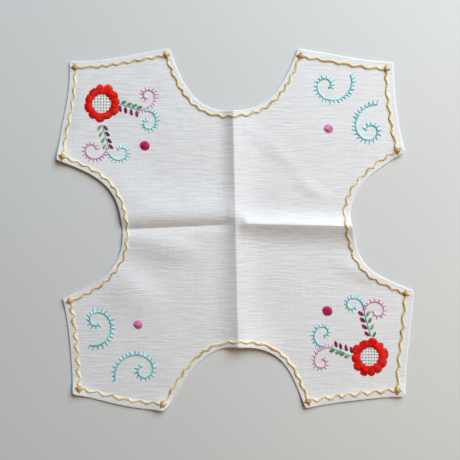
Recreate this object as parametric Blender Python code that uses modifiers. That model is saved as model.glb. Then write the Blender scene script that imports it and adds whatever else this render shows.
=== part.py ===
"""A bread cloth of white linen: one square panel with a round bay cut from each side and a turned hem.

It lies on a table, newly unfolded, so the creases of its folding still stand up: one ridge runs
from front to back, one runs from the middle to the right, and one furrow runs to the left.
Units are metres. X runs to the right, Y to the back, Z up, and the origin is on the table under
the middle of the cloth.
"""
import math
from collections import namedtuple

import bmesh
import bpy
from mathutils import Vector
from mathutils.geometry import interpolate_bezier, intersect_line_line

MM = 0.001

# Cloth: the hem is three layers of the linen, so it stands higher than the field inside it.
# Round the bays it is turned narrower than along the straight edges.
FIELD_THICKNESS = 1.0 * MM
HEM_THICKNESS = 1.8 * MM
EDGE_HEM_WIDTH = 7.0 * MM
BAY_HEM_WIDTH = 5.0 * MM
HEM_TOP_SHARE = 0.82
CORNER_ROUNDING = 2.2 * MM
INNER_ROUNDING = 1.1 * MM

# Outline: three corners for each of the four lobes, anticlockwise from the back left.
# Sizes are in mm. Lift is how far the corner curls off the table. The straight edge that follows
# the corner swells outward by bow at its middle, and by twist in its first half.
Corner = namedtuple("Corner", "name x y lift bow twist")
CORNERS = [
    Corner("back_left_inner", -69.5, 191, 1.2, -2.4, 0.7),
    Corner("back_left_outer", -175, 177.5, 0.8, -1.7, -1.3),
    Corner("back_left_side", -188, 73.5, 2.8, 0, 0),
    Corner("front_left_side", -182, -71.5, 1.8, -2.0, -0.3),
    Corner("front_left_outer", -171, -172.5, 3.2, 2.8, -0.6),
    Corner("front_left_inner", -75, -190, 4.0, 0, 0),
    Corner("front_right_inner", 73.5, -187.5, 2.5, -1.4, 0),
    Corner("front_right_outer", 178, -175, 3.2, -0.3, -0.5),
    Corner("front_right_side", 187.5, -64, 1.0, 0, 0),
    Corner("back_right_side", 178, 81.5, 4.0, -2.7, 0),
    Corner("back_right_outer", 166, 176.5, 0.8, -1.2, -0.5),
    Corner("back_right_inner", 65.5, 191, 1.2, 0, 0),
]

# Bays: each joins two corners by way of its deepest point. Headings are the directions
# of the outline, in degrees anticlockwise from +X, where it leaves the first corner,
# passes the deepest point and reaches the second corner.
# Pulls are the reaches of the two curves that meet at the deepest point, in mm.
Bay = namedtuple("Bay", "first x y leaving passing reaching pull_out pull_in pull_on pull_back")
BAYS = [
    Bay("back_left_side", -119.3, 0, -21, -87, -161, 42, 49, 40, 40),
    Bay("front_left_inner", 3.6, -122.5, 47, 0, -67.5, 26.5, 47.5, 49, 38),
    Bay("front_right_side", 122, 2.5, 157.5, 102, 30, 50.5, 46.5, 38, 40),
    Bay("back_right_inner", -3.2, 125.2, -111, 182, 109, 45.5, 38.5, 42, 37),
]
BAY_STEPS = 10
EDGE_STEPS = 9
ROUNDING_STEPS = 3

# Creases, in mm, from start to end on the cloth. A ridge falls away from its line: height is
# its rise, which reaches out left and right of the way by the sizes at the start and at the end,
# and flattened is how much lower the ironed crease itself lies than its flanks would bring it.
Ridge = namedtuple("Ridge", "name x0 y0 x1 y1 height left0 left1 right0 right1 flattened")
RIDGES = [
    Ridge("front_back", 2.9, -126, -2.7, 128, 5.2, 20, 11, 24, 30, 0.0),
    Ridge("right", 11.9, 6.8, 124, 4.0, 8.6, 15.7, 10.5, 17, 19.5, 0.6),
]
FLATTENED_REACH = 3 * MM

# A furrow is lowest on its line: the flanks rise steeply to a crest and sink slowly behind it.
Furrow = namedtuple("Furrow", "name x0 y0 x1 y1 left left_rise left_fall right right_rise right_fall")
FURROWS = [
    Furrow("left", -112.7, 0.5, -6.8, 5.3, 8.2, 14.5, 36, 3.1, 11.6, 22.8),
]
CREASE_ROUNDING = 0.8 * MM
BLEND_POWER = 1.6

# Swells, in mm: soft rises left by folding, handling and the pull of the stitches. Each is
# a long mound along its heading, with its own width on the left and right of it.
Swell = namedtuple("Swell", "name x y heading half_length left right rise")
SWELLS = [
    Swell("before_furrow", -72, -18, -7, 35, 12.6, 17.7, 3.2),
    Swell("front_left_field", -107, -60, -38, 31, 16, 31, 2.9),
    Swell("back_left_side", -144.5, 50, -20, 90, 29, 18.5, 2.4),
    Swell("back_left_edge", -166, 126, 83, 50, 7, 30, 0.8),
    Swell("back_right_middle", 48, 80, -40, 25, 9.5, 9.5, 1.0),
    Swell("back_right_field", 80, 43.5, -31, 21, 8.3, 8.5, 1.2),
    Swell("right_bay_edge", 133, -44, -19, 26.5, 11.5, 11.5, 2.0),
    Swell("front_bay_crest", 12.5, -125, 90, 22.5, 12, 40, 3.4),
    Swell("front_bay_tip", 1.5, -127, 90, 9, 10, 10, 2.4),
    Swell("front_left_edge", -124, -183, -9, 46, 8, 8, 1.0),
    Swell("front_right_edge", 126, -177, 7, 50, 14, 7, 1.3),
]
CURL_REACH = 12 * MM

# The cloth sinks onto the table where it would stand off it by less than this.
SETTLE = 0.15 * MM
SETTLE_EASE = 0.5 * MM

# Grid of the mesh: distances from a crease at which the cloth is divided, in mm.
# They are close together where the cloth bends and wide where it lies flat.
CREASE_OFFSETS = [0, 1.3, 3.8, 7.5, 12.5, 19.5]
FIELD_START = 29
FIELD_SPACING = 10
FIELD_END = 190
NEAREST_VERTS = 0.4 * MM
CUT_SNAP = 0.02 * MM

LINEN_COLOUR = (0.86, 0.86, 0.87, 1.0)
LINEN_ROUGHNESS = 0.85
SHARP_EDGE_DEGREES = 40


def clear_scene():
    for obj in list(bpy.data.objects):
        bpy.data.objects.remove(obj, do_unlink=True)


def linen_material():
    material = bpy.data.materials.new("white_linen")
    material.use_nodes = True
    shader = material.node_tree.nodes["Principled BSDF"]
    shader.inputs["Base Color"].default_value = LINEN_COLOUR
    shader.inputs["Roughness"].default_value = LINEN_ROUGHNESS
    shader.inputs["Metallic"].default_value = 0.0
    return material


def point(x, y):
    """A point on the table, from sizes in mm."""
    return Vector((x * MM, y * MM, 0.0))


def heading_vector(degrees):
    angle = math.radians(degrees)
    return Vector((math.cos(angle), math.sin(angle), 0.0))


def bay_points(start, end, bay):
    """The hollow curve from one corner through the bay's deepest point to the next corner."""
    deep = point(bay.x, bay.y)
    passing = heading_vector(bay.passing)
    leave = start + heading_vector(bay.leaving) * bay.pull_out * MM
    arrive = deep - passing * bay.pull_in * MM
    go_on = deep + passing * bay.pull_on * MM
    reach = end - heading_vector(bay.reaching) * bay.pull_back * MM
    inward = interpolate_bezier(start, leave, arrive, deep, BAY_STEPS + 1)
    outward = interpolate_bezier(deep, go_on, reach, end, BAY_STEPS + 1)
    return [Vector(p) for p in inward] + [Vector(p) for p in outward[1:]]


def edge_points(start, end, corner):
    """A nearly straight edge that swells outward by the bow and the twist of its first corner."""
    across = (end - start).cross(Vector((0, 0, 1))).normalized()
    edge = []
    for i in range(EDGE_STEPS + 1):
        share = i / EDGE_STEPS
        out = corner.bow * math.sin(math.pi * share) + corner.twist * math.sin(2 * math.pi * share)
        edge.append(start.lerp(end, share) + across * out * MM)
    return edge


def drawn_in(line, inset):
    """A line moved to its left, into the cloth, by an inset."""
    moved = []
    for i, place in enumerate(line):
        way = line[min(i + 1, len(line) - 1)] - line[max(i - 1, 0)]
        moved.append(place + Vector((-way.y, way.x, 0)).normalized() * inset)
    return moved


def rounded(before, corner, after, radius):
    """The few points that round a corner between its two neighbours."""
    a = corner + (before - corner).normalized() * radius
    b = corner + (after - corner).normalized() * radius
    steps = [i / (ROUNDING_STEPS - 1) for i in range(ROUNDING_STEPS)]
    return [a * (1 - t) ** 2 + corner * 2 * t * (1 - t) + b * t**2 for t in steps]


def outline_points(hem_share):
    """The cloth's edge at share 0, or a line inside it, at share 1 on the hem's inner edge.

    It runs anticlockwise from above, with the same number of points at every share.
    """
    bays = {bay.first: bay for bay in BAYS}
    corners = [point(c.x, c.y) for c in CORNERS]
    sides = []
    for i, corner in enumerate(CORNERS):
        start, end = corners[i], corners[(i + 1) % len(corners)]
        if corner.name in bays:
            side = bay_points(start, end, bays[corner.name])
            hem_width = BAY_HEM_WIDTH
        else:
            side = edge_points(start, end, corner)
            hem_width = EDGE_HEM_WIDTH
        sides.append(drawn_in(side, hem_share * hem_width))
    radius = CORNER_ROUNDING + (INNER_ROUNDING - CORNER_ROUNDING) * hem_share
    outline = []
    for i, side in enumerate(sides):
        before = sides[i - 1]
        corner = intersect_line_line(before[-2], before[-1], side[0], side[1])[0]
        outline += rounded(before[-2], corner, side[1], radius)
        outline += side[1:-1]
    return outline


def smooth_distance(distance):
    """Distance with its sharp turn at zero rounded off."""
    return math.sqrt(distance**2 + CREASE_ROUNDING**2) - CREASE_ROUNDING


def beside(crease, x, y):
    """Where a place is beside a crease: share of its length, distance past its ends, and side."""
    start, end = point(crease.x0, crease.y0), point(crease.x1, crease.y1)
    run = end - start
    place = Vector((x, y, 0)) - start
    along = place.dot(run) / run.length_squared
    beyond = max(0.0, -along, along - 1.0) * run.length
    side = (run.x * place.y - run.y * place.x) / run.length
    return min(max(along, 0.0), 1.0), beyond, side


def ridge_height(ridge, x, y):
    along, beyond, side = beside(ridge, x, y)
    reach0, reach1 = (ridge.left0, ridge.left1) if side > 0 else (ridge.right0, ridge.right1)
    reach = (reach0 + (reach1 - reach0) * along) * MM
    away = smooth_distance(math.hypot(side, beyond))
    flattened = ridge.flattened * math.exp(-away / FLATTENED_REACH)
    return max(ridge.height * math.erfc(away / reach) - flattened, 0.0) * MM


def furrow_height(furrow, x, y):
    _, beyond, side = beside(furrow, x, y)
    if side > 0:
        height, rise, fall = furrow.left, furrow.left_rise, furrow.left_fall
    else:
        height, rise, fall = furrow.right, furrow.right_rise, furrow.right_fall
    away = smooth_distance(side)
    flank = math.erf(away / (rise * MM)) * math.erfc(away / (fall * MM))
    return height * MM * flank * math.exp(-((beyond / (rise * MM)) ** 2))


def swell_height(swell, x, y):
    place = Vector((x, y, 0)) - point(swell.x, swell.y)
    ahead = heading_vector(swell.heading)
    along = place.dot(ahead) / (swell.half_length * MM)
    across = ahead.x * place.y - ahead.y * place.x
    half_width = (swell.left if across > 0 else swell.right) * MM
    return swell.rise * MM * math.exp(-(along**2) - (across / half_width) ** 2)


def curl_height(corner, x, y):
    away = math.hypot(x - corner.x * MM, y - corner.y * MM) / CURL_REACH
    return corner.lift * MM * math.exp(-(away**2))


def cloth_height(x, y):
    """How far the underside of the cloth stands off the table."""
    heights = [ridge_height(r, x, y) for r in RIDGES] + [furrow_height(f, x, y) for f in FURROWS]
    creases = sum(height**BLEND_POWER for height in heights) ** (1 / BLEND_POWER)
    swells = sum(swell_height(s, x, y) for s in SWELLS)
    curls = sum(curl_height(c, x, y) for c in CORNERS)
    rise = max(0.0, creases + swells + curls - SETTLE)
    return rise**2 / (rise + SETTLE_EASE)


def grid_offsets():
    """Distances to both sides of a crease at which the cloth is divided."""
    steps = CREASE_OFFSETS + list(range(FIELD_START, FIELD_END, FIELD_SPACING))
    return sorted({side * step * MM for step in steps for side in (-1, 1)})


def side_of(crease, place):
    """How far a place is to the left of a crease's way, below zero on its right."""
    start, end = point(crease.x0, crease.y0), point(crease.x1, crease.y1)
    return (end - start).normalized().cross(place - start).z


def cut_beside(mesh, crease, faces):
    """Divides faces along lines beside a crease, at every distance of the grid."""
    start, end = point(crease.x0, crease.y0), point(crease.x1, crease.y1)
    across = Vector((0, 0, 1)).cross(end - start).normalized()
    for offset in grid_offsets():
        edges = dict.fromkeys(edge for face in faces for edge in face.edges)
        verts = dict.fromkeys(vert for face in faces for vert in face.verts)
        cut = bmesh.ops.bisect_plane(
            mesh,
            geom=[*verts, *edges, *faces],
            dist=CUT_SNAP,
            plane_co=start + across * offset,
            plane_no=across,
        )
        faces = [item for item in cut["geom"] if isinstance(item, bmesh.types.BMFace)]


def hem_ring(mesh, share):
    """The closed loop of edges along the outline, drawn in by a share of the hem's width."""
    verts = [mesh.verts.new(place) for place in outline_points(share)]
    return [mesh.edges.new((a, b)) for a, b in zip(verts, verts[1:] + verts[:1])]


def flat_panel():
    """The cloth's cut shape as faces on the table, with its hem band and its grid."""
    mesh = bmesh.new()
    on_hem = mesh.verts.layers.float.new("on_hem")
    rings = [hem_ring(mesh, share) for share in (0, HEM_TOP_SHARE, 1)]
    for outer, inner in zip(rings, rings[1:]):
        bmesh.ops.bridge_loops(mesh, edges=outer + inner)
    field = bmesh.ops.contextual_create(mesh, geom=rings[-1])["faces"][0]
    bmesh.ops.recalc_face_normals(mesh, faces=mesh.faces[:])
    for vert in mesh.verts:
        vert[on_hem] = 0.0 if vert in field.verts else 1.0
    front_back, right = RIDGES
    left = FURROWS[0]
    cut_beside(mesh, front_back, mesh.faces[:])
    middles = {face: face.calc_center_median() for face in mesh.faces}
    cut_beside(mesh, left, [f for f, place in middles.items() if side_of(front_back, place) > 0])
    cut_beside(mesh, right, [f for f, place in middles.items() if side_of(front_back, place) < 0])
    bmesh.ops.remove_doubles(mesh, verts=mesh.verts[:], dist=NEAREST_VERTS)
    return mesh


def make_cloth(collection):
    mesh = flat_panel()
    on_hem = mesh.verts.layers.float["on_hem"]
    weights = [vert[on_hem] for vert in mesh.verts]
    for vert in mesh.verts:
        vert.co.z = cloth_height(vert.co.x, vert.co.y)
    data = bpy.data.meshes.new("cloth")
    mesh.to_mesh(data)
    mesh.free()
    data.materials.append(linen_material())
    cloth = bpy.data.objects.new("cloth", data)
    collection.objects.link(cloth)
    hem = cloth.vertex_groups.new(name="hem")
    for index, weight in enumerate(weights):
        hem.add([index], weight, "REPLACE")
    skin = cloth.modifiers.new("thickness", "SOLIDIFY")
    skin.thickness = HEM_THICKNESS
    skin.vertex_group = hem.name
    skin.thickness_vertex_group = FIELD_THICKNESS / HEM_THICKNESS
    skin.offset = 1.0
    skin.use_even_offset = True
    data.shade_smooth()
    data.set_sharp_from_angle(angle=math.radians(SHARP_EDGE_DEGREES))
    return cloth


def main():
    clear_scene()
    collection = bpy.data.collections.new("bread_cloth")
    bpy.context.scene.collection.children.link(collection)
    make_cloth(collection)


main()
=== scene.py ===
"""The looks of the bread cloth: fine linen on its solid's folds, its hem and its embroidery.

Lengths in the tables are in mm and angles in degrees, anticlockwise from +X. The scene itself is in
metres in the part's frame: X to the right, Y to the back, Z up, and the table at Z = 0.
"""
import math
import random
from collections import namedtuple

import bmesh
import bpy
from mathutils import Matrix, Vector, noise
from mathutils.geometry import (
    delaunay_2d_cdt,
    interpolate_bezier,
    intersect_line_line_2d,
    intersect_point_line,
)
from mathutils.kdtree import KDTree

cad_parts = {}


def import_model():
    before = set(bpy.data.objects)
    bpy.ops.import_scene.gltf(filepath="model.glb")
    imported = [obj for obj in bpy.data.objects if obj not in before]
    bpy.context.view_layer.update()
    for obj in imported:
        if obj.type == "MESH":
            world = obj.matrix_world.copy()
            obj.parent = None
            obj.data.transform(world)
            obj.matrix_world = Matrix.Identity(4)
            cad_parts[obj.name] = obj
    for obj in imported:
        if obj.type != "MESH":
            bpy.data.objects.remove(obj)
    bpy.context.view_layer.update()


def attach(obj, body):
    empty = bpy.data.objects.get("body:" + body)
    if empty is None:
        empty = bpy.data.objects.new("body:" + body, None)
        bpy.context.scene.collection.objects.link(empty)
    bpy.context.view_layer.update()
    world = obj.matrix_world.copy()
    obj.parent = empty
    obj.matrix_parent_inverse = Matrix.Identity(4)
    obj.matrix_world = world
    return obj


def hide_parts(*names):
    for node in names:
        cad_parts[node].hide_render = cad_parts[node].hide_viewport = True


MM = 0.001

# Camera: straight above the cloth, at arm's length.
CAMERA_X = -5.8
VIEW_WIDTH = 485.3
FIELD_OF_VIEW = 45

# Light: one large soft window-like source behind the cloth on its right, a weak warm one from the
# right, and a weak warm surround.
Lamp = namedtuple("Lamp", "name place size watts colour")
LAMPS = [
    Lamp("window", (1.06, 1.48, 1.24), 1.8, 71.5, (0.735, 0.86, 0.985)),
    Lamp("warm_fill", (1.0, 0.0, 0.84), 1.0, 4.5, (1.0, 0.65, 0.25)),
]
SURROUND_COLOUR = (1.0, 0.74, 0.55)
SURROUND_STRENGTH = 0.12
FLOOR_SIZE = 3.0
FLOOR_DROP = 0.02
FLOOR_MOTTLE = 3
FLOOR_COLOURS = [(0.3, (0.705, 0.715, 0.70)), (0.7, (0.725, 0.735, 0.72))]
FLOOR_ROUGHNESS = 0.7
FLOOR_SPECULAR = 0.15

# Fabric: one layer in the field and three in the hem.
FABRIC = 0.5
HEM_FABRIC = 0.95
HEM_STEP = 1.6
HEM_PAST_STITCH = 1.0
FOLD_ROUNDING = 0.7
FOLD_LEAST = 0.55
MITRE_HALF_WIDTH = 0.55
MITRE_DEPTH = 0.75
MITRE_STEEPNESS = 6
CORNER_ROUNDING = 2.2
ROUNDING_STEPS = 5
ROUNDING_WAY_STEPS = 2
Ripple = namedtuple("Ripple", "name height length width")
RIPPLES = [
    Ripple("fine", 0.1, 24, 9),
    Ripple("broad", 0.5, 42, 33),
]

# Outline: the same corners and bays as in the solid, with shorter steps.
Corner = namedtuple("Corner", "name x y lift bow twist hem lace_period lace_sway lace_weight")
CORNERS = [
    Corner("back_left_inner", -69.5, 191, 1.2, -2.4, 0.7, 6.4, 12.7, 0.85, 1.0),
    Corner("back_left_outer", -175, 177.5, 0.8, -1.7, -1.3, 6.2, 13.5, 1.1, 0.9),
    Corner("back_left_side", -188, 73.5, 2.8, 0, 0, 5.6, 12.9, 1.05, 1.0),
    Corner("front_left_side", -182, -71.5, 1.8, -2.0, -0.3, 7.2, 13.8, 1.5, 1.05),
    Corner("front_left_outer", -171, -172.5, 3.2, 2.8, -0.6, 7.2, 14.3, 1.4, 1.0),
    Corner("front_left_inner", -75, -190, 4.0, 0, 0, 5.6, 13.0, 0.8, 1.25),
    Corner("front_right_inner", 73.5, -187.5, 2.5, -1.4, 0, 7.0, 13.6, 1.6, 1.15),
    Corner("front_right_outer", 178, -175, 3.2, -0.3, -0.5, 8.2, 15.2, 1.2, 1.2),
    Corner("front_right_side", 187.5, -64, 1.0, 0, 0, 6.0, 13.1, 1.15, 1.05),
    Corner("back_right_side", 178, 81.5, 4.0, -2.7, 0, 7.6, 14.0, 1.15, 1.25),
    Corner("back_right_outer", 166, 176.5, 0.8, -1.2, -0.5, 7.6, 14.1, 1.0, 1.2),
    Corner("back_right_inner", 65.5, 191, 1.2, 0, 0, 5.6, 12.2, 0.95, 1.15),
]
Bay = namedtuple("Bay", "first x y leaving passing reaching pull_out pull_in pull_on pull_back")
BAYS = [
    Bay("back_left_side", -119.3, 0, -21, -87, -161, 42, 49, 40, 40),
    Bay("front_left_inner", 3.6, -122.5, 47, 0, -67.5, 26.5, 47.5, 49, 38),
    Bay("front_right_side", 122, 2.5, 157.5, 102, 30, 50.5, 46.5, 38, 40),
    Bay("back_right_inner", -3.2, 125.2, -111, 182, 109, 45.5, 38.5, 42, 37),
]
BAY_STEPS = 60
EDGE_STEPS = 66
TRIM_STEPS = 16

# Folds: the same creases and swells as in the solid, with sharper crease lines.
Ridge = namedtuple("Ridge", "name x0 y0 x1 y1 height left0 left1 right0 right1 flattened")
RIDGES = [
    Ridge("front_back", 2.9, -126, -2.7, 128, 5.2, 20, 11, 24, 30, 0.0),
    Ridge("right", 11.9, 6.8, 124, 4.0, 8.6, 15.7, 10.5, 17, 19.5, 0.6),
]
FLATTENED_REACH = 3
Furrow = namedtuple("Furrow", "name x0 y0 x1 y1 left left_rise left_fall right right_rise right_fall")
FURROWS = [
    Furrow("left", -112.7, 0.5, -6.8, 5.3, 8.2, 14.5, 36, 3.1, 11.6, 22.8),
]
CREASE_ROUNDING = 0.4
BLEND_POWER = 1.6
Swell = namedtuple("Swell", "name x y heading half_length left right rise")
SWELLS = [
    Swell("before_furrow", -72, -18, -7, 35, 12.6, 17.7, 3.2),
    Swell("front_left_field", -107, -60, -38, 31, 16, 31, 2.9),
    Swell("back_left_side", -144.5, 50, -20, 90, 29, 18.5, 2.4),
    Swell("back_left_edge", -166, 126, 83, 50, 7, 30, 0.8),
    Swell("back_right_middle", 48, 80, -40, 25, 9.5, 9.5, 1.0),
    Swell("back_right_field", 80, 43.5, -31, 21, 8.3, 8.5, 1.2),
    Swell("right_bay_edge", 133, -44, -19, 26.5, 11.5, 11.5, 2.0),
    Swell("front_bay_crest", 12.5, -125, 90, 22.5, 12, 40, 3.4),
    Swell("front_bay_tip", 1.5, -127, 90, 9, 10, 10, 2.4),
    Swell("front_left_edge", -124, -183, -9, 46, 8, 8, 1.0),
    Swell("front_right_edge", 126, -177, 7, 50, 14, 7, 1.3),
]
CURL_REACH = 12
SETTLE = 0.15
SETTLE_EASE = 0.5

# Mesh of the linen: spacing of its points in the field, along the hem and beside the creases.
GRID_SPACING = 2.3
HEM_SHARES = [0.03, 0.08, 0.16, 0.32, 0.52, 0.72, 0.86, 0.95, 1.03, 1.1, 1.17, 1.26, 1.42]
CREASE_OFFSETS = [0, 0.5, 1.1, 1.9, 2.9, 4.2, 5.8, 7.8]
CREASE_STEP = 2.0
CREASE_GAP_GROWTH = 0.125
MITRE_OFFSETS = [0, 0.5, 1.1]
MITRE_STEP = 0.7
FINE_GAP = 0.32
GRID_GAP = 1.25
HALF_WIDTH = 192
MERGE_DISTANCE = 1e-6
SHARP_ANGLE = 60

# Threads: how far their ends go into the cloth, the least height of any thread over the table, and
# how a stitch arches and how thin its ends are.
SUNK = 0.15
THREAD_CLEARANCE = 0.05
THREAD_BEVEL = 1
ARCH_ROUNDNESS = 0.6
STITCH_STEPS = 8
STITCH_THIN = 0.6
LEAST_LENGTH = 1e-9

# Hem stitch: a twisted perle thread laced through small running stitches.
LACE_SKEW = 0.25
LACE_WANDER = 0.35
LACE_WANDER_LENGTH = 17
LACE_STEP = 0.5
LACE_LIFT = -0.1
LACE_LIFT_CHANGE = 0.1
LACE_END_SHARE = 0.02
LACE_FADE_WAVES = 0.5
PLY_RADIUS = 0.62
PLY_OFFSET = 0.58
PLY_FLATNESS = 0.5
PLY_PITCH = 3.4
RUNNINGS_A_WAVE = 2
RUNNING_LENGTH = 2.6
RUNNING_RADIUS = 0.4
RUNNING_RISE = 0.45

# Corner knots: crossed stitches and two short arms.
KNOT_SPOKES = 6
KNOT_REACH = 2.7
KNOT_RISE = 0.55
KNOT_RADIUS = 1.0
KNOT_ARM = 4.3
KNOT_ARM_RADIUS = 0.85
KNOT_THIN = 0.85
KNOT_WAY_STEPS = 3

# Flowers: satin petals round a centre of drawn threads. Each petal is the angle of the notch where
# it starts, as sewn, and its reach.
Flower = namedtuple("Flower", "name x y hole_x hole_y hole seed petals")
FLOWERS = [
    Flower(
        "back_left", -140.5, 133.5, -141.0, 132.9, 9.5, 5,
        (
            (18, 18.3), (50, 20.4), (84, 19.4), (111, 17.5), (144, 17.1), (178, 18.1),
            (216, 18.7), (246, 19.3), (279, 17.0), (312, 18.5), (354, 17.9),
        ),
    ),
    Flower(
        "front_right", 141.9, -134.0, 141.2, -133.4, 9.2, 8,
        (
            (36, 18.9), (61, 19.8), (99, 18.6), (132, 20.2), (168, 18.6), (200, 19.7),
            (234, 20.1), (263, 19.0), (288, 18.0), (318, 17.8), (354, 19.1),
        ),
    ),
]
NOTCH_RADIUS = 15.7
PETAL_THREAD_ANGLE = 2.6
PETAL_TUCK = 0.85
PETAL_RISE = 1.1
GROOVE_POWER = 1.5
PETAL_ROUGHNESS = 0.3
PETAL_ROUGH_RISE = 0.1
PETAL_STEPS = 9
PETAL_THREAD_RADIUS = 0.3
PETAL_THREAD_SPREAD = 0.2
PETAL_THREAD_THIN = 0.65
LATTICE_PITCH = 3.1
LATTICE_THREADS = 3
LATTICE_THREAD_GAP = 0.5
LATTICE_THREAD_RADIUS = 0.4
LATTICE_LIFT = 0.25
LATTICE_OVERLAP = 0.2
LATTICE_WEAVE = 0.28
LATTICE_STEPS = 4
CUT_MARGIN = 0.7
CUT_STEPS = 48

# Dots: round satin spots.
Dot = namedtuple("Dot", "name colour x y radius slant")
DOTS = [
    Dot("back_left", "crimson", -95.4, 88.8, 5.2, 65),
    Dot("back_right", "rose", 98.2, 106.8, 4.7, 80),
    Dot("front_left", "rose", -102.3, -99.6, 4.7, 70),
    Dot("front_right", "crimson", 96.8, -85.2, 5.4, 60),
]
DOT_THREADS = 11
DOT_THREAD_RADIUS = 0.5
DOT_EDGE_RISE = 0.35
DOT_RISE = 0.5

# Sprigs: a twisted stem with a row of leaves on each side.
Sprig = namedtuple("Sprig", "name x y heading length")
SPRIGS = [
    Sprig("back_left_right", -120.8, 133.1, -18.5, 20.5),
    Sprig("back_left_down", -140.1, 111.4, -74, 27),
    Sprig("front_right_left", 122.5, -131.9, 159.4, 24),
    Sprig("front_right_up", 143.3, -112.1, 107.2, 25.7),
]
STEM_LIFT = 0.1
STEM_PLY_RADIUS = 0.46
STEM_PLY_OFFSET = 0.34
STEM_PLY_PITCH = 2.6

# Rows of leaves: side is 1 to the left of the stem, turn is away from the stem, and out, first and
# spacing place the roots beside the stem and along it.
LeafRow = namedtuple("LeafRow", "sprig colour side turn out first spacing length half_width")
LEAF_ROWS = [
    LeafRow("back_left_right", "green", 1, 36, 0.7, 0.6, 5.6, 6.2, 1.15),
    LeafRow("back_left_right", "plum", -1, 61, 1.9, -0.4, 6.2, 6.8, 1.0),
    LeafRow("back_left_down", "green", -1, 47, 1.7, 0.8, 6.7, 6.4, 0.85),
    LeafRow("back_left_down", "plum", 1, 33, 0.3, 2.0, 6.8, 6.7, 1.1),
    LeafRow("front_right_left", "green", 1, 37, 0.3, 1.3, 5.5, 6.5, 1.2),
    LeafRow("front_right_left", "plum", -1, 54, 2.2, 0.3, 5.9, 6.8, 1.0),
    LeafRow("front_right_up", "plum", 1, 35, 1.5, 0.9, 7.5, 7.3, 1.15),
    LeafRow("front_right_up", "green", -1, 45, 1.3, -1.0, 7.6, 6.4, 0.9),
]
LEAVES = 4
LEAF_SHIFT = 0.4
LEAF_LENGTHS = (0.92, 1.08)
LEAF_THREAD_RADIUS = 0.55
LEAF_THREAD_THIN = 0.6
LEAF_RISE = 0.5
LEAF_SIDE_RISE = 0.35
LEAF_STEPS = 7

# Scrolls: each starts at x, y with a heading, bends at first, then turns more and more tightly.
# Spacing is the distance between its teeth at their middles, tooth is their length, and thick is
# the share of the usual thickness that its thread has.
Scroll = namedtuple("Scroll", "name colour x y heading length bend turn tighten spacing tooth thick")
SCROLLS = [
    Scroll("back_left_a", "pink", -101.5, 126.2, 11, 49, 21, 343, 2.3, 3.65, 4.3, 1.05),
    Scroll("back_left_b", "aqua", -94.6, 125.4, 12, 44, -115, -287, 3.15, 3.6, 4.0, 1.15),
    Scroll("back_left_c", "pink", -135.7, 86, -100, 50, -73, -284, 2.35, 3.85, 4.0, 1.05),
    Scroll("back_left_d", "aqua", -132.9, 80.1, -61, 39, 61, 254, 2.3, 3.85, 4.0, 1.1),
    Scroll("back_right_a", "aqua", 121.4, 162.6, -65, 88, -122, -325, 3.5, 4.0, 4.5, 1.25),
    Scroll("back_right_b", "aqua", 149.1, 132.4, 178, 90, 94, 367, 3.0, 4.3, 4.6, 1.3),
    Scroll("front_left_a", "aqua", -152.4, -121, -18, 84, 124, 325, 3.5, 4.7, 5.2, 1.25),
    Scroll("front_left_b", "aqua", -126.4, -157.6, 103, 97, -107, -359, 3.3, 4.6, 4.2, 1.2),
    Scroll("front_right_a", "aqua", 134.8, -82.3, 91, 39, 71, 269, 2.4, 3.75, 3.9, 1.15),
    Scroll("front_right_b", "pink", 136.2, -88, 100, 50, -106, -281, 2.6, 4.4, 4.0, 1.05),
    Scroll("front_right_c", "aqua", 92.3, -121.9, 184, 45, -122, -257, 3.35, 3.9, 3.6, 1.15),
    Scroll("front_right_d", "pink", 101.2, -123.7, 173, 51, 62, 322, 2.8, 3.85, 3.6, 1.05),
]
BEND_POWER = 3
SPINE_RADIUS = 0.78
SPINE_THIN = 0.8
SPINE_LIFT = -0.25
SPINE_ARCH = 0.2
TOOTH_GAPS = (0.82, 1.18)
TOOTH_LENGTHS = (0.8, 1.15)
TOOTH_LEAN = 0.25
TOOTH_LEAN_CHANGE = 0.08
TOOTH_RADIUS = 0.72
TOOTH_BASE = 1.25
TOOTH_TAPER = 0.6
TOOTH_LIFT = -0.15
TOOTH_DIP_POWER = 3
TOOTH_STEPS = 5
SCROLL_STEP = 0.25

# Linen's looks: its colours from dark to light, the noises that make its slubs, the strength and
# depth of its bumps, and the rate of a wave texture at a scale of 1, in radians a metre.
FIELD_COLOURS = [(0.785, 0.785, 0.79), (0.875, 0.875, 0.88)]
HEM_COLOURS = [(0.80, 0.805, 0.815), (0.86, 0.865, 0.875)]
Slub = namedtuple("Slub", "name stretch detail roughness part")
SLUBS = [
    Slub("weft", (44, 390, 1), 3.0, 0.65, 0.84),
    Slub("warp", (300, 30, 1), 2.0, 0.5, 0.16),
]
SLUB_SPREAD = 0.12
SLUB_BUMP = (0.85, 0.0006)
CLUMP_SCALE = 55
CLUMP_STRENGTH = 2.0
WAVER_SCALE = 22
WAVER_SWAY = 0.005
WEAVE_PERIOD = 0.0009
WEAVE_BUMP = (0.25, 0.0003)
WAVE_RATE = 20
LINEN_ROUGHNESS = 0.85
LINEN_SHEEN = 0.1
LINEN_SPECULAR = 0.25

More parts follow.
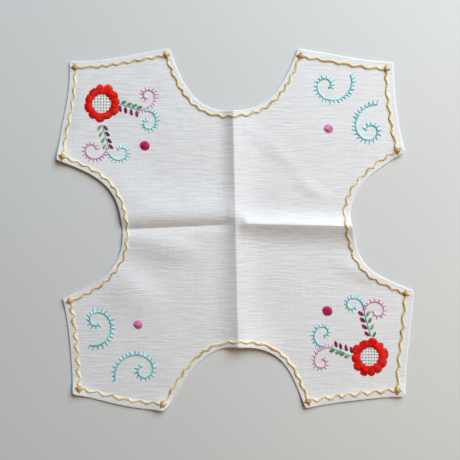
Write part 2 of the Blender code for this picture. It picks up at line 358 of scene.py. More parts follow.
# Threads' looks: the scale of their changes of colour, the surface, and colours from dark to light.
Dye = namedtuple("Dye", "name scale roughness sheen specular colours")
DYES = [
    Dye("red", 260, 0.55, 0.0, 0.2, [(0.58, 0.005, 0.004), (0.82, 0.012, 0.006), (0.95, 0.026, 0.012)]),
    Dye("crimson", 260, 0.5, 0.0, 0.3, [(0.44, 0.009, 0.085), (0.6, 0.015, 0.125), (0.74, 0.026, 0.175)]),
    Dye("rose", 260, 0.5, 0.0, 0.3, [(0.62, 0.12, 0.33), (0.80, 0.22, 0.47), (0.92, 0.34, 0.62)]),
    Dye("plum", 160, 0.5, 0.0, 0.3, [(0.15, 0.008, 0.05), (0.29, 0.016, 0.115), (0.44, 0.034, 0.185)]),
    Dye("green", 160, 0.5, 0.1, 0.4, [(0.11, 0.23, 0.07), (0.21, 0.38, 0.14), (0.38, 0.60, 0.27)]),
    Dye("aqua", 70, 0.5, 0.1, 0.4, [(0.16, 0.50, 0.54), (0.26, 0.69, 0.74), (0.42, 0.87, 0.93)]),
    Dye("pink", 70, 0.5, 0.1, 0.4, [(0.55, 0.19, 0.36), (0.77, 0.34, 0.57), (0.93, 0.57, 0.80)]),
    Dye("gold", 90, 0.5, 0.1, 0.4, [(0.62, 0.40, 0.15), (0.87, 0.66, 0.30), (0.96, 0.84, 0.49)]),
    Dye("pale_gold", 60, 0.5, 0.1, 0.4, [(0.74, 0.60, 0.30), (0.86, 0.76, 0.48)]),
    Dye("orange", 90, 0.5, 0.0, 0.3, [(0.46, 0.26, 0.08), (0.76, 0.50, 0.18)]),
    Dye("white", 120, 0.8, 0.1, 0.3, [(0.82, 0.82, 0.81), (0.90, 0.90, 0.89)]),
]
DYE_DETAIL = 3.0
DYE_START = 0.36
DYE_SPAN = 0.28
THREAD_NOISE = 0.6
FIBRE_SCALE = 4200
FIBRE_BUMP = (0.3, 0.0002)


def point(x, y):
    return Vector((x, y, 0.0))


def heading_vector(degrees):
    angle = math.radians(degrees)
    return Vector((math.cos(angle), math.sin(angle), 0.0))


def left_of(way):
    return Vector((-way.y, way.x, 0.0)).normalized()


def placed(name, data):
    """A new object in the scene."""
    item = bpy.data.objects.new(name, data)
    bpy.context.scene.collection.objects.link(item)
    return item


def smooth_step(share):
    share = min(max(share, 0.0), 1.0)
    return share * share * (3 - 2 * share)


# Outline


def bay_points(start, end, bay):
    """The hollow curve from one corner through the bay's deepest point to the next corner."""
    deep = point(bay.x, bay.y)
    passing = heading_vector(bay.passing)
    leave = start + heading_vector(bay.leaving) * bay.pull_out
    arrive = deep - passing * bay.pull_in
    go_on = deep + passing * bay.pull_on
    reach = end - heading_vector(bay.reaching) * bay.pull_back
    inward = interpolate_bezier(start, leave, arrive, deep, BAY_STEPS + 1)
    outward = interpolate_bezier(deep, go_on, reach, end, BAY_STEPS + 1)
    return [Vector(p) for p in inward] + [Vector(p) for p in outward[1:]]


def edge_points(start, end, bow, twist):
    """A nearly straight edge that swells by bow at its middle, and by twist in its first half."""
    across = (end - start).cross(Vector((0, 0, 1))).normalized()
    return [
        start.lerp(end, t) + across * (bow * math.sin(math.pi * t) + twist * math.sin(2 * math.pi * t))
        for t in (i / EDGE_STEPS for i in range(EDGE_STEPS + 1))
    ]


def side_lines():
    """The twelve sides of the cloth from corner to corner, anticlockwise."""
    bays = {bay.first: bay for bay in BAYS}
    lines = []
    for corner, following in zip(CORNERS, CORNERS[1:] + CORNERS[:1]):
        start, end = point(corner.x, corner.y), point(following.x, following.y)
        if corner.name in bays:
            lines.append(bay_points(start, end, bays[corner.name]))
        else:
            lines.append(edge_points(start, end, corner.bow, corner.twist))
    return lines


def drawn_in(line, inset):
    """A line moved to its left, into the cloth, by an inset."""
    moved = []
    for i, place in enumerate(line):
        way = line[min(i + 1, len(line) - 1)] - line[max(i - 1, 0)]
        moved.append(place + left_of(way) * inset)
    return moved


def meeting(before, after):
    """Where one drawn-in side crosses the next: last step on the one, first on the other, the place."""
    for i in range(len(before) - 2, len(before) - TRIM_STEPS, -1):
        for j in range(TRIM_STEPS):
            place = intersect_line_line_2d(
                before[i].xy, before[i + 1].xy, after[j].xy, after[j + 1].xy
            )
            if place:
                return i, j + 1, place.to_3d()
    return len(before) - 2, 1, before[-1].lerp(after[0], 0.5)


def drawn_in_sides(share):
    """The sides drawn in by a share of their hem, each trimmed where it meets its neighbours."""
    lines = [drawn_in(line, share * corner.hem) for line, corner in zip(side_lines(), CORNERS)]
    crossings = [meeting(lines[i - 1], lines[i]) for i in range(len(lines))]
    trimmed = []
    for i, line in enumerate(lines):
        _, first, start = crossings[i]
        last, _, end = crossings[(i + 1) % len(lines)]
        trimmed.append([start, *line[first : last + 1], end])
    return trimmed


def rounded(before, corner, after):
    """The few points that round a corner between its two neighbours."""
    a = corner + (before - corner).normalized() * CORNER_ROUNDING
    b = corner + (after - corner).normalized() * CORNER_ROUNDING
    steps = [i / (ROUNDING_STEPS - 1) for i in range(ROUNDING_STEPS)]
    return [a * (1 - t) ** 2 + corner * 2 * t * (1 - t) + b * t**2 for t in steps]


def edge_outline():
    """The cut edge with rounded corners, and the hem width at each of its points."""
    lines = side_lines()
    outline, hems = [], []
    for i, (line, corner) in enumerate(zip(lines, CORNERS)):
        before, after = lines[i - 1][-1 - ROUNDING_WAY_STEPS], line[ROUNDING_WAY_STEPS]
        turn = rounded(before, line[0], after)
        clear = [
            p for p in line if min((p - line[0]).length, (p - line[-1]).length) > CORNER_ROUNDING
        ]
        outline += turn + clear
        hems += [corner.hem] * len(turn + clear)
    return outline, hems


# Heights


def smooth_distance(distance):
    """Distance with its sharp turn at zero rounded off."""
    return math.sqrt(distance**2 + CREASE_ROUNDING**2) - CREASE_ROUNDING


def beside(crease, x, y):
    """Where a place is beside a crease: share of its length, distance past its ends, and side."""
    run_x, run_y = crease.x1 - crease.x0, crease.y1 - crease.y0
    place_x, place_y = x - crease.x0, y - crease.y0
    length = math.hypot(run_x, run_y)
    along = (place_x * run_x + place_y * run_y) / length**2
    beyond = max(0.0, -along, along - 1.0) * length
    side = (run_x * place_y - run_y * place_x) / length
    return min(max(along, 0.0), 1.0), beyond, side


def ridge_height(ridge, x, y):
    along, beyond, side = beside(ridge, x, y)
    reach0, reach1 = (ridge.left0, ridge.left1) if side > 0 else (ridge.right0, ridge.right1)
    reach = reach0 + (reach1 - reach0) * along
    away = smooth_distance(math.hypot(side, beyond))
    flattened = ridge.flattened * math.exp(-away / FLATTENED_REACH)
    return max(ridge.height * math.erfc(away / reach) - flattened, 0.0)


def furrow_height(furrow, x, y):
    _, beyond, side = beside(furrow, x, y)
    if side > 0:
        height, rise, fall = furrow.left, furrow.left_rise, furrow.left_fall
    else:
        height, rise, fall = furrow.right, furrow.right_rise, furrow.right_fall
    away = smooth_distance(side)
    flank = math.erf(away / rise) * math.erfc(away / fall)
    return height * flank * math.exp(-((beyond / rise) ** 2))


def swell_height(swell, x, y):
    ahead = heading_vector(swell.heading)
    place_x, place_y = x - swell.x, y - swell.y
    along = (place_x * ahead.x + place_y * ahead.y) / swell.half_length
    across = ahead.x * place_y - ahead.y * place_x
    half_width = swell.left if across > 0 else swell.right
    return swell.rise * math.exp(-(along**2) - (across / half_width) ** 2)


def curl_height(corner, x, y):
    away = math.hypot(x - corner.x, y - corner.y) / CURL_REACH
    return corner.lift * math.exp(-(away**2))


def underside(x, y):
    """How far the underside of the cloth stands off the table."""
    heights = [ridge_height(r, x, y) for r in RIDGES] + [furrow_height(f, x, y) for f in FURROWS]
    creases = sum(height**BLEND_POWER for height in heights) ** (1 / BLEND_POWER)
    swells = sum(swell_height(s, x, y) for s in SWELLS)
    curls = sum(curl_height(c, x, y) for c in CORNERS)
    rise = max(0.0, creases + swells + curls - SETTLE)
    return rise**2 / (rise + SETTLE_EASE)


def ripple(x, y):
    """The small unevenness of washed linen, longer along the weft, above the table everywhere."""
    return sum(
        r.height * (1 + noise.noise(Vector((x / r.length, y / r.width, r.height)))) / 2
        for r in RIPPLES
    )


class Linen:
    """The cloth as heights over the table, in mm."""

    def __init__(self):
        self.outline, self.hems = edge_outline()
        self.tree = KDTree(len(self.outline))
        for i, place in enumerate(self.outline):
            self.tree.insert(place, i)
        self.tree.balance()
        tips = [point(corner.x, corner.y) for corner in CORNERS]
        self.mitres = [(line[0], tip) for line, tip in zip(drawn_in_sides(1), tips)]

    def beside_edge(self, x, y):
        """Distance from the cut edge, and the hem's width there."""
        place = point(x, y)
        _, nearest, _ = self.tree.find(place)
        count = len(self.outline)
        distances = []
        for a, b in ((nearest - 1, nearest), (nearest, (nearest + 1) % count)):
            start, end = self.outline[a], self.outline[b]
            foot, share = intersect_point_line(place, start, end)
            foot = start.lerp(end, min(max(share, 0.0), 1.0))
            distances.append((place - foot).length)
        return min(distances), self.hems[nearest]

    def mitre(self, x, y):
        """How deep a place lies in the seam of a mitred corner, from 0 to 1."""
        place = point(x, y)
        deepest = 0.0
        for start, end in self.mitres:
            foot, share = intersect_point_line(place, start, end)
            if 0.0 <= share <= 1.0:
                away = (place - foot).length / MITRE_HALF_WIDTH
                deepest = max(deepest, math.exp(-(away**2)) * smooth_step(MITRE_STEEPNESS * share))
        return deepest

    def thickness(self, x, y):
        inside, hem = self.beside_edge(x, y)
        layers = smooth_step((hem + HEM_PAST_STITCH + HEM_STEP / 2 - inside) / HEM_STEP)
        bulge = 1 - min(inside / FOLD_ROUNDING, 1.0)
        fold = FOLD_LEAST + (1 - FOLD_LEAST) * math.sqrt(1 - bulge**2)
        extra = (HEM_FABRIC - FABRIC) * layers
        if layers > 0:
            extra *= 1 - MITRE_DEPTH * self.mitre(x, y)
        return (FABRIC + extra) * fold

    def top(self, x, y):
        return underside(x, y) + ripple(x, y) + self.thickness(x, y)

    def on_top(self, place, lift=0.0):
        """A place in mm on the cloth, as a point in the scene."""
        return Vector((place.x, place.y, self.top(place.x, place.y) + lift)) * MM


# Linen mesh


class Sieve:
    """Keeps points that are no closer to each other than they are allowed to be."""

    def __init__(self, cell):
        self.cell = cell
        self.cells = {}
        self.points = []

    def add(self, place, gap):
        column, row = int(place.x // self.cell), int(place.y // self.cell)
        for i in range(column - 1, column + 2):
            for j in range(row - 1, row + 2):
                if any((place - other).length < gap for other in self.cells.get((i, j), ())):
                    return False
        self.cells.setdefault((column, row), []).append(place)
        self.points.append(place)
        return True


def steps_between(start, end, spacing):
    count = max(1, round((end - start).length / spacing))
    return [start.lerp(end, i / count) for i in range(count + 1)]


def linen_points(linen):
    """Points of the cloth's mesh: its edge and cut centres first, then the fine rows, then the grid."""
    sieve = Sieve(GRID_GAP)
    for place in linen.outline:
        sieve.add(place, 0)
    edge_count = len(sieve.points)
    loops = [list(range(edge_count))]
    for flower in FLOWERS:
        first = len(sieve.points)
        for i in range(CUT_STEPS):
            spoke = heading_vector(360 * i / CUT_STEPS)
            sieve.add(point(flower.hole_x, flower.hole_y) + spoke * (flower.hole + CUT_MARGIN), 0)
        loops.append(list(range(first, len(sieve.points))))
    for start, end in linen.mitres:
        across = left_of(end - start)
        for place in steps_between(start, end, MITRE_STEP):
            for offset in MITRE_OFFSETS:
                for side in (-1, 1):
                    sieve.add(place + across * offset * side, FINE_GAP)
    for share in HEM_SHARES:
        for line in drawn_in_sides(share):
            for place in line:
                if linen.beside_edge(place.x, place.y)[0] > FINE_GAP / 2:
                    sieve.add(place, FINE_GAP)
    for crease in RIDGES + FURROWS:
        start, end = point(crease.x0, crease.y0), point(crease.x1, crease.y1)
        across = left_of(end - start)
        for offset in CREASE_OFFSETS:
            for side in (-1, 1):
                for place in steps_between(start, end, CREASE_STEP):
                    sieve.add(place + across * offset * side, max(FINE_GAP, offset * CREASE_GAP_GROWTH))
    columns = int(HALF_WIDTH / GRID_SPACING)
    for i in range(-columns, columns + 1):
        for j in range(-columns, columns + 1):
            sieve.add(point(i * GRID_SPACING, j * GRID_SPACING), GRID_GAP)
    return sieve.points, loops


def in_a_centre(place):
    return any(
        math.hypot(place.x - f.hole_x, place.y - f.hole_y) < f.hole + CUT_MARGIN for f in FLOWERS
    )


def make_linen(linen):
    """The cloth as a closed thin sheet, with its underside on the solid's heights."""
    places, loops = linen_points(linen)
    bounds = [(loop[i - 1], loop[i]) for loop in loops for i in range(len(loop))]
    inside_bounds = 1
    flat, _, triangles, _, _, _ = delaunay_2d_cdt(
        [place.xy for place in places], bounds, [], inside_bounds, MERGE_DISTANCE
    )
    mesh = bmesh.new()
    tops, lows = [], []
    for place in flat:
        low = underside(place.x, place.y) + ripple(place.x, place.y)
        thick = linen.thickness(place.x, place.y)
        lows.append(mesh.verts.new(Vector((place.x, place.y, low)) * MM))
        tops.append(mesh.verts.new(Vector((place.x, place.y, low + thick)) * MM))
    for triangle in triangles:
        middle = sum((flat[i] for i in triangle), Vector((0, 0))) / 3
        if in_a_centre(middle):
            continue
        face = mesh.faces.new([tops[i] for i in triangle])
        inside, hem = linen.beside_edge(middle.x, middle.y)
        face.material_index = 1 if inside < hem + HEM_PAST_STITCH else 0
    under = dict(zip(tops, lows))
    faces = mesh.faces[:]
    rims = [loop for face in faces for loop in face.loops if len(loop.edge.link_faces) == 1]
    ends = [(loop.vert, loop.link_loop_next.vert, loop.face.material_index) for loop in rims]
    for face in faces:
        below = mesh.faces.new([under[vert] for vert in reversed(face.verts[:])])
        below.material_index = face.material_index
    for a, b, index in ends:
        wall = mesh.faces.new((b, a, under[a], under[b]))
        wall.material_index = index
    loose = [vert for vert in mesh.verts if not vert.link_faces]
    bmesh.ops.delete(mesh, geom=loose, context="VERTS")
    data = bpy.data.meshes.new("linen_cloth")
    mesh.to_mesh(data)
    mesh.free()
    data.shade_smooth()
    data.set_sharp_from_angle(angle=math.radians(SHARP_ANGLE))
    return placed("linen_cloth", data)


# Threads


def thread_piece(name, runs, material):
    """One mesh of many threads. A run is a list of places in the scene, each with a radius in mm."""
    curve = bpy.data.curves.new(name, "CURVE")
    curve.dimensions = "3D"
    curve.twist_mode = "Z_UP"
    curve.bevel_depth = MM
    curve.bevel_resolution = THREAD_BEVEL
    curve.use_fill_caps = True
    for run in runs:
        spline = curve.splines.new("POLY")
        spline.points.add(len(run) - 1)
        for knot, (place, radius) in zip(spline.points, run):
            knot.co = (*place, 1.0)
            knot.radius = radius
    guide = placed(name, curve)
    shown = guide.evaluated_get(bpy.context.evaluated_depsgraph_get())
    data = bpy.data.meshes.new_from_object(shown)
    bpy.data.objects.remove(guide)
    for vert in data.vertices:
        vert.co.z = max(vert.co.z, THREAD_CLEARANCE * MM)
    data.materials.clear()
    data.materials.append(material)
    data.shade_smooth()
    piece = placed(name, data)
    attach(piece, "root")
    return piece


def line_lengths(line):
    """How far along a line each of its points is."""
    lengths = [0.0]
    for a, b in zip(line, line[1:]):
        lengths.append(lengths[-1] + (b - a).length)
    return lengths


def walk(line, spacing):
    """Places along a line at an even spacing, each with its way."""
    lengths = line_lengths(line)
    count = max(2, round(lengths[-1] / spacing))
    places, step = [], 0
    for i in range(count + 1):
        reach = lengths[-1] * i / count
        while step < len(line) - 2 and lengths[step + 1] < reach:
            step += 1
        before, after = line[step], line[step + 1]
        part = (reach - lengths[step]) / max(lengths[step + 1] - lengths[step], LEAST_LENGTH)
        places.append((before.lerp(after, part), (after - before).normalized()))
    return places


def plies(path, radius, offset, pitch):
    """Two strands twisted round a path of scene points."""
    strands = ([], [])
    travelled = 0.0
    for i, place in enumerate(path):
        way = (path[min(i + 1, len(path) - 1)] - path[max(i - 1, 0)]).normalized()
        across = Vector((0, 0, 1)).cross(way).normalized()
        up = way.cross(across)
        if i:
            travelled += (place - path[i - 1]).length
        turn = 2 * math.pi * travelled / (pitch * MM)
        for strand, side in zip(strands, (1, -1)):
            swing = across * math.cos(turn) + up * math.sin(turn) * PLY_FLATNESS
            strand.append((place + swing * offset * side * MM, radius))
    return strands


def arch_height(share, roundness=ARCH_ROUNDNESS):
    """Height of a stitch along its length: nothing at both ends and 1 in the middle."""
    return max(math.sin(math.pi * share), 0.0) ** roundness


def arched(rise, arch):
    """How far a thread stands off the cloth at a height of its arch, with its ends sunk in."""
    return (rise + SUNK) * arch - SUNK


def thinned(radius, thin, arch):
    """A thread's radius at a height of its arch. At its ends only the share thin of it is left."""
    return radius * (thin + (1 - thin) * arch)


def stitch(linen, start, end, rise, radius, thin=STITCH_THIN):
    """A stitch that comes out of the cloth at start and goes back in at end."""
    run = []
    for i in range(STITCH_STEPS + 1):
        share = i / STITCH_STEPS
        arch = arch_height(share)
        place = linen.on_top(start.lerp(end, share), arched(rise, arch))
        run.append((place, thinned(radius, thin, arch)))
    return run


# Embroidery


def lace_runs(linen):
    """The laced thread along the hem, and the small running stitches over it."""
    laces, runnings = [], []
    for line, corner in zip(drawn_in_sides(1), CORNERS):
        places = walk(line, LACE_STEP)
        last = len(places) - 1
        waves = max(1, round(LACE_STEP * last / corner.lace_period))
        path = []
        for i, (place, way) in enumerate(places):
            share = i / last
            phase = 2 * math.pi * waves * share
            wander = noise.noise(place / LACE_WANDER_LENGTH) * LACE_WANDER
            phase += 2 * math.pi * wander
            sway = corner.lace_sway * (1 + wander) * math.sin(phase - LACE_SKEW * math.sin(phase))
            sway *= smooth_step(min(share, 1 - share) * waves / LACE_FADE_WAVES)
            lift = LACE_LIFT - LACE_LIFT_CHANGE * math.cos(2 * phase)
            path.append(linen.on_top(place + left_of(way) * sway, lift))
        weight = corner.lace_weight
        laces += plies(path, PLY_RADIUS * weight, PLY_OFFSET * weight, PLY_PITCH * weight)
        count = RUNNINGS_A_WAVE * waves
        for i in range(count):
            share = i / count
            if share < LACE_END_SHARE:
                continue
            place, way = places[round(share * last)]
            half = way * RUNNING_LENGTH / 2
            start, end = place - half, place + half
            runnings.append(stitch(linen, start, end, RUNNING_RISE, RUNNING_RADIUS))
    return laces, runnings


def knot_runs(linen):
    """At each corner a small heap of crossed stitches, and two arms in line with its two sides."""
    runs = []
    lines = drawn_in_sides(1)
    for i, line in enumerate(lines):
        place = line[0]
        before = lines[i - 1]
        onward = (before[-1] - before[-1 - KNOT_WAY_STEPS]).normalized()
        backward = (place - line[KNOT_WAY_STEPS]).normalized()
        for turn in range(KNOT_SPOKES):
            spoke = heading_vector(180 * turn / KNOT_SPOKES) * KNOT_REACH
            rise = KNOT_RISE * (1 + turn / KNOT_SPOKES)
            start, end = place - spoke, place + spoke
            runs.append(stitch(linen, start, end, rise, KNOT_RADIUS, KNOT_THIN))
        for arm in (onward, backward):
            start, end = place - arm * KNOT_REACH, place + arm * KNOT_ARM
            runs.append(stitch(linen, start, end, KNOT_RISE, KNOT_ARM_RADIUS, KNOT_THIN))
    return runs


def petal_runs(linen, flower):
    """Satin threads from the cut centre out to the rim, lower in the groove between two petals."""
    rng = random.Random(flower.seed)
    middle, hole_middle = point(flower.x, flower.y), point(flower.hole_x, flower.hole_y)
    runs = []
    for (start, reach), (end, _) in zip(flower.petals, flower.petals[1:] + flower.petals[:1]):
        end += 360 if end < start else 0
        count = round((end - start) / PETAL_THREAD_ANGLE)
        for i in range(count):
            across = 2 * (i + 0.5) / count - 1
            angle = start + (end - start) * (i + 0.5) / count
            lobe = math.sqrt(1 - across**2)
            uneven = rng.uniform(-1, 1)
            spoke = heading_vector(angle)
            rim = NOTCH_RADIUS + (reach - NOTCH_RADIUS) * lobe + PETAL_TUCK
            rim += PETAL_ROUGHNESS * uneven
            outer = middle + spoke * rim
            brim = flower.hole + rng.uniform(-PETAL_ROUGHNESS, PETAL_ROUGHNESS)
            inner = hole_middle + spoke * brim
            groove = PETAL_RISE * (1 - lobe**GROOVE_POWER)
            run = []
            for k in range(PETAL_STEPS + 1):
                share = k / PETAL_STEPS
                arch = arch_height(share)
                rise = PETAL_RISE - groove * share + PETAL_ROUGH_RISE * uneven
                radius = PETAL_THREAD_RADIUS + PETAL_THREAD_SPREAD * share
                place = linen.on_top(inner.lerp(outer, share), arched(rise, arch))
                run.append((place, thinned(radius, PETAL_THREAD_THIN, arch)))
            runs.append(run)
    return runs


def lattice_runs(linen, flower):
    """Bars of bundled threads across the cut centre, over and under each other."""
    middle = point(flower.hole_x, flower.hole_y)
    reach = flower.hole + CUT_MARGIN + LATTICE_OVERLAP
    bars = int(reach / LATTICE_PITCH)
    runs = []
    for way, first_over in ((Vector((1, 0, 0)), 1), (Vector((0, 1, 0)), -1)):
        across = left_of(way)
        for bar in range(-bars, bars + 1):
            for thread in range(LATTICE_THREADS):
                offset = bar * LATTICE_PITCH
                offset += (thread - (LATTICE_THREADS - 1) / 2) * LATTICE_THREAD_GAP
                half = math.sqrt(max(reach**2 - offset**2, 0.0))
                steps = max(2, round(2 * half / (LATTICE_PITCH / LATTICE_STEPS)))
                run = []
                for i in range(steps + 1):
                    along = -half + 2 * half * i / steps
                    weave = math.cos(math.pi * along / LATTICE_PITCH + math.pi * bar) * first_over
                    place = middle + way * along + across * offset
                    level = underside(place.x, place.y) + LATTICE_LIFT + FABRIC / 2
                    place.z = level + LATTICE_WEAVE * weave
                    run.append((place * MM, LATTICE_THREAD_RADIUS))
                runs.append(run)
    return runs


def dot_runs(linen, dot):
    """Parallel satin threads over a round spot."""
    middle = point(dot.x, dot.y)
    way = heading_vector(dot.slant)
    across = left_of(way)
    runs = []
    for i in range(DOT_THREADS):
        share = 2 * (i + 0.5) / DOT_THREADS - 1
        bulge = math.sqrt(1 - share**2)
        place = middle + across * share * dot.radius
        half = way * dot.radius * max(bulge, DOT_EDGE_RISE)
        rise = DOT_EDGE_RISE + DOT_RISE * bulge
        runs.append(stitch(linen, place - half, place + half, rise, DOT_THREAD_RADIUS))
    return runs


def leaf_runs(linen, root, way, length, half_width):
    """A small leaf of three threads, side by side in the middle and together at its ends."""
    across = left_of(way)
    runs = []
    for lane in (-1, 0, 1):
        run = []
        for i in range(LEAF_STEPS + 1):
            share = i / LEAF_STEPS
            arch = arch_height(share)
            place = root + way * length * share + across * lane * half_width * arch
            rise = LEAF_SIDE_RISE if lane else LEAF_RISE
            radius = thinned(LEAF_THREAD_RADIUS, LEAF_THREAD_THIN, arch)
            run.append((linen.on_top(place, arched(rise, arch)), radius))
        runs.append(run)
    return runs


def stem_runs(linen, sprig):
    start = point(sprig.x, sprig.y)
    end = start + heading_vector(sprig.heading) * sprig.length
    path = [linen.on_top(place, STEM_LIFT) for place in steps_between(start, end, LACE_STEP)]
    return plies(path, STEM_PLY_RADIUS, STEM_PLY_OFFSET, STEM_PLY_PITCH)


def leaf_row_runs(linen, row):
    """The leaves along one side of a stem."""
    sprig = next(sprig for sprig in SPRIGS if sprig.name == row.sprig)
    rng = random.Random(f"{row.sprig} {row.colour}")
    start = point(sprig.x, sprig.y)
    stem_way = heading_vector(sprig.heading)
    way = heading_vector(sprig.heading + row.side * row.turn)
    runs = []
    for i in range(LEAVES):
        along = row.first + row.spacing * i + rng.uniform(-LEAF_SHIFT, LEAF_SHIFT)
        root = start + stem_way * along + left_of(stem_way) * row.side * row.out
        length = row.length * rng.uniform(*LEAF_LENGTHS)
        runs += leaf_runs(linen, root, way, length, row.half_width)
    return runs


def scroll_line(scroll, count):
    """The inner line of a scroll in even steps, with its way at each step."""
    place = point(scroll.x, scroll.y)
    line, ways = [place], []
    for i in range(count):
        share = (i + 0.5) / count
        bend = scroll.bend * (1 - (1 - share) ** BEND_POWER)
        way = heading_vector(scroll.heading + bend + scroll.turn * share**scroll.tighten)
        place = place + way * scroll.length / count
        ways.append(way)
        line.append(place)
    return line, ways


def tooth_steps(scroll, ways, rng):
    """Steps of a scroll's line at which its teeth stand, by their spacing at their middles."""
    steps, travelled = [0], 0.0
    for i, (before, way) in enumerate(zip(ways, ways[1:]), 1):
        travelled += scroll.length / len(ways) + before.angle(way) * scroll.tooth / 2
        if travelled > scroll.spacing:
            travelled -= scroll.spacing * rng.uniform(*TOOTH_GAPS)
            steps.append(i)
    return steps


def scroll_runs(linen, scroll):
    """Blanket stitch along a curl: a spine with teeth on its outer side."""
    rng = random.Random(scroll.name)
    line, ways = scroll_line(scroll, round(scroll.length / SCROLL_STEP))
    outer = -1 if scroll.turn > 0 else 1
    steps = tooth_steps(scroll, ways, rng)
    runs = []
    for first, last in zip(steps, steps[1:] + [len(line) - 1]):
        spine = []
        for i in range(first, last + 1):
            arch = arch_height((i - first) / (last - first), roundness=1)
            radius = thinned(SPINE_RADIUS * scroll.thick, SPINE_THIN, arch)
            spine.append((linen.on_top(line[i], SPINE_LIFT + SPINE_ARCH * arch), radius))
        runs.append(spine)
        way = ways[first]
        lean = TOOTH_LEAN + rng.uniform(-TOOTH_LEAN_CHANGE, TOOTH_LEAN_CHANGE)
        tooth_way = (left_of(way) * outer - way * lean).normalized()
        length = scroll.tooth * rng.uniform(*TOOTH_LENGTHS)
        tooth = []
        for k in range(TOOTH_STEPS + 1):
            share = k / TOOTH_STEPS
            place = line[first] + tooth_way * length * share
            lift = TOOTH_LIFT - (TOOTH_LIFT + SUNK) * share**TOOTH_DIP_POWER
            radius = TOOTH_RADIUS * scroll.thick * (TOOTH_BASE - TOOTH_TAPER * share)
            tooth.append((linen.on_top(place, lift), radius))
        runs.append(tooth)
    return runs


# Materials


class Nodes:
    """Small helper to put nodes in a material and join them."""

    def __init__(self, name):
        self.material = bpy.data.materials.new(name)
        self.material.use_nodes = True
        self.tree = self.material.node_tree
        self.shader = self.tree.nodes["Principled BSDF"]

    def add(self, kind, **settings):
        node = self.tree.nodes.new(kind)
        for name, value in settings.items():
            setattr(node, name, value)
        return node

    def join(self, source, target):
        self.tree.links.new(source, target)

    def place(self):
        """Object coordinates in metres."""
        return self.add("ShaderNodeTexCoord").outputs["Object"]

    def noise(self, place, scale, detail=2.0, roughness=0.5):
        node = self.add("ShaderNodeTexNoise")
        node.inputs["Scale"].default_value = scale
        node.inputs["Detail"].default_value = detail
        node.inputs["Roughness"].default_value = roughness
        self.join(place, node.inputs["Vector"])
        return node.outputs["Fac"]

    def wavered(self, place, scale, sway):
        """The place moved to and fro along Y by a slow noise, so that rows aren't straight."""
        node = self.add("ShaderNodeTexNoise")
        node.inputs["Scale"].default_value = scale
        self.join(place, node.inputs["Vector"])
        move = self.add("ShaderNodeVectorMath", operation="MULTIPLY_ADD")
        self.join(node.outputs["Color"], move.inputs[0])
        move.inputs[1].default_value = (0, sway, 0)
        self.join(place, move.inputs[2])
        return move.outputs["Vector"]

    def stretched(self, place, stretch):
        mapping = self.add("ShaderNodeMapping")
        mapping.inputs["Scale"].default_value = stretch
        self.join(place, mapping.inputs["Vector"])
        return mapping.outputs["Vector"]

    def ramp(self, factor, stops):
        node = self.add("ShaderNodeValToRGB")
        ramp = node.color_ramp
        ramp.elements[0].position, ramp.elements[0].color = stops[0][0], (*stops[0][1], 1)
        ramp.elements[1].position, ramp.elements[1].color = stops[-1][0], (*stops[-1][1], 1)
        for position, colour in stops[1:-1]:
            ramp.elements.new(position).color = (*colour, 1)
        self.join(factor, node.inputs["Fac"])
        return node.outputs["Color"]

    def math(self, operation, a, b):
        node = self.add("ShaderNodeMath", operation=operation)
        for socket, value in zip(node.inputs, (a, b)):
            if isinstance(value, (int, float)):
                socket.default_value = value
            else:
                self.join(value, socket)
        return node.outputs["Value"]

    def waves(self, place, period, direction):
        """Even bands across a direction, with a period in metres."""
        node = self.add("ShaderNodeTexWave", bands_direction=direction)
        node.inputs["Scale"].default_value = 2 * math.pi / (WAVE_RATE * period)
        self.join(place, node.inputs["Vector"])
        return node.outputs["Fac"]

    def bump(self, height, strength, distance, under=None):
        node = self.add("ShaderNodeBump")
        node.inputs["Strength"].default_value = strength
        node.inputs["Distance"].default_value = distance
        self.join(height, node.inputs["Height"])
        if under:
            self.join(under, node.inputs["Normal"])
        return node.outputs["Normal"]

    def finished(self, roughness, sheen, specular):
        self.shader.inputs["Roughness"].default_value = roughness
        self.shader.inputs["Sheen Weight"].default_value = sheen
        self.shader.inputs["Specular IOR Level"].default_value = specular
        return self.material


def linen_material(name, dark, light):
    """Plain weave with slubs, most of them along the weft, which lies along X, in uneven clumps."""
    nodes = Nodes(name)
    place = nodes.wavered(nodes.place(), WAVER_SCALE, WAVER_SWAY)
    parts = []
    for slub in SLUBS:
        slubs = nodes.noise(nodes.stretched(place, slub.stretch), 1.0, slub.detail, slub.roughness)
        parts.append(nodes.math("MULTIPLY", slubs, slub.part))
    even_slubs = nodes.math("SUBTRACT", nodes.math("ADD", *parts), 0.5)
    clumps = nodes.math("MULTIPLY", nodes.noise(place, CLUMP_SCALE), CLUMP_STRENGTH)
    slubs = nodes.math("ADD", nodes.math("MULTIPLY", even_slubs, clumps), 0.5)
    colour = nodes.ramp(slubs, [(0.5 - SLUB_SPREAD, dark), (0.5 + SLUB_SPREAD, light)])
    nodes.join(colour, nodes.shader.inputs["Base Color"])
    weft = nodes.math("SUBTRACT", nodes.waves(place, WEAVE_PERIOD, "Y"), 0.5)
    warp = nodes.math("SUBTRACT", nodes.waves(place, WEAVE_PERIOD, "X"), 0.5)
    weave = nodes.bump(nodes.math("MULTIPLY", weft, warp), *WEAVE_BUMP)
    slubbed = nodes.bump(slubs, *SLUB_BUMP, under=weave)
    nodes.join(slubbed, nodes.shader.inputs["Normal"])
    return nodes.finished(LINEN_ROUGHNESS, LINEN_SHEEN, LINEN_SPECULAR)


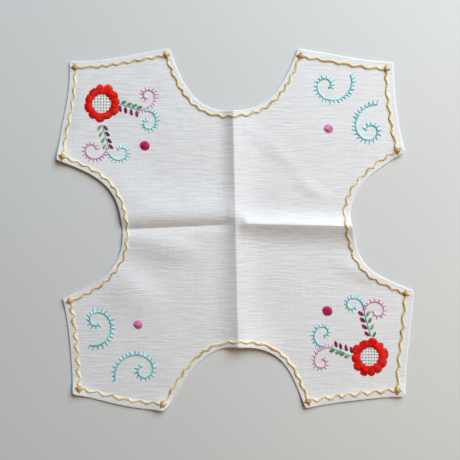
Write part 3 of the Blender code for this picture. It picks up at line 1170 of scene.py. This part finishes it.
def thread_material(dye):
    """Cotton thread: a dyed colour that changes along the thread, and fine fibres."""
    nodes = Nodes(f"{dye.name}_thread")
    place = nodes.place()
    shade = nodes.noise(place, dye.scale, DYE_DETAIL, THREAD_NOISE)
    last = len(dye.colours) - 1
    stops = [(DYE_START + DYE_SPAN * i / last, colour) for i, colour in enumerate(dye.colours)]
    nodes.join(nodes.ramp(shade, stops), nodes.shader.inputs["Base Color"])
    fibres = nodes.noise(place, FIBRE_SCALE, roughness=THREAD_NOISE)
    nodes.join(nodes.bump(fibres, *FIBRE_BUMP), nodes.shader.inputs["Normal"])
    return nodes.finished(dye.roughness, dye.sheen, dye.specular)


def floor_material():
    nodes = Nodes("pale_table")
    mottle = nodes.noise(nodes.place(), FLOOR_MOTTLE)
    colour = nodes.ramp(mottle, FLOOR_COLOURS)
    nodes.join(colour, nodes.shader.inputs["Base Color"])
    return nodes.finished(FLOOR_ROUGHNESS, 0.0, FLOOR_SPECULAR)


# Studio


def make_floor():
    mesh = bmesh.new()
    bmesh.ops.create_cube(mesh, size=1.0)
    for vert in mesh.verts:
        vert.co.x *= FLOOR_SIZE
        vert.co.y *= FLOOR_SIZE
        vert.co.z = (vert.co.z - 0.5) * FLOOR_DROP
    data = bpy.data.meshes.new("floor")
    mesh.to_mesh(data)
    mesh.free()
    data.materials.append(floor_material())
    floor = placed("floor", data)
    return floor


def make_light():
    for lamp in LAMPS:
        source = bpy.data.lights.new(lamp.name, "AREA")
        source.shape = "DISK"
        source.size = lamp.size
        source.energy = lamp.watts
        source.color = lamp.colour
        holder = placed(lamp.name, source)
        holder.location = lamp.place
        holder.rotation_euler = Vector(lamp.place).to_track_quat("Z", "Y").to_euler()
    world = bpy.data.worlds.new("surround")
    world.use_nodes = True
    background = world.node_tree.nodes["Background"]
    background.inputs["Color"].default_value = (*SURROUND_COLOUR, 1)
    background.inputs["Strength"].default_value = SURROUND_STRENGTH
    bpy.context.scene.world = world


def make_camera():
    lens = bpy.data.cameras.new("camera")
    lens.angle = math.radians(FIELD_OF_VIEW)
    camera = placed("camera", lens)
    distance = VIEW_WIDTH / 2 / math.tan(math.radians(FIELD_OF_VIEW) / 2)
    camera.location = Vector((CAMERA_X, 0, distance)) * MM
    bpy.context.scene.camera = camera


def make_embroidery(linen):
    dyed = {dye.name: thread_material(dye) for dye in DYES}
    laces, runnings = lace_runs(linen)
    pieces = [
        thread_piece("hem_lacing", laces, dyed["gold"]),
        thread_piece("hem_running_stitches", runnings, dyed["pale_gold"]),
        thread_piece("corner_knots", knot_runs(linen), dyed["orange"]),
    ]
    for flower in FLOWERS:
        pieces.append(thread_piece(f"petals_{flower.name}", petal_runs(linen, flower), dyed["red"]))
        centre = lattice_runs(linen, flower)
        pieces.append(thread_piece(f"drawn_threads_{flower.name}", centre, dyed["white"]))
    for dot in DOTS:
        pieces.append(thread_piece(f"dot_{dot.name}", dot_runs(linen, dot), dyed[dot.colour]))
    for sprig in SPRIGS:
        pieces.append(thread_piece(f"stem_{sprig.name}", stem_runs(linen, sprig), dyed["aqua"]))
    for row in LEAF_ROWS:
        name = f"{row.colour}_leaves_{row.sprig}"
        pieces.append(thread_piece(name, leaf_row_runs(linen, row), dyed[row.colour]))
    for scroll in SCROLLS:
        name = f"scroll_{scroll.name}"
        pieces.append(thread_piece(name, scroll_runs(linen, scroll), dyed[scroll.colour]))
    return pieces


def main():
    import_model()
    linen = Linen()
    cloth = make_linen(linen)
    cloth.data.materials.append(linen_material("field_linen", *FIELD_COLOURS))
    cloth.data.materials.append(linen_material("hem_linen", *HEM_COLOURS))
    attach(cloth, "root")
    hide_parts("cloth")
    threads = make_embroidery(linen)
    floor = make_floor()
    make_light()
    make_camera()
    bpy.context.scene.view_settings.view_transform = "Standard"


main()
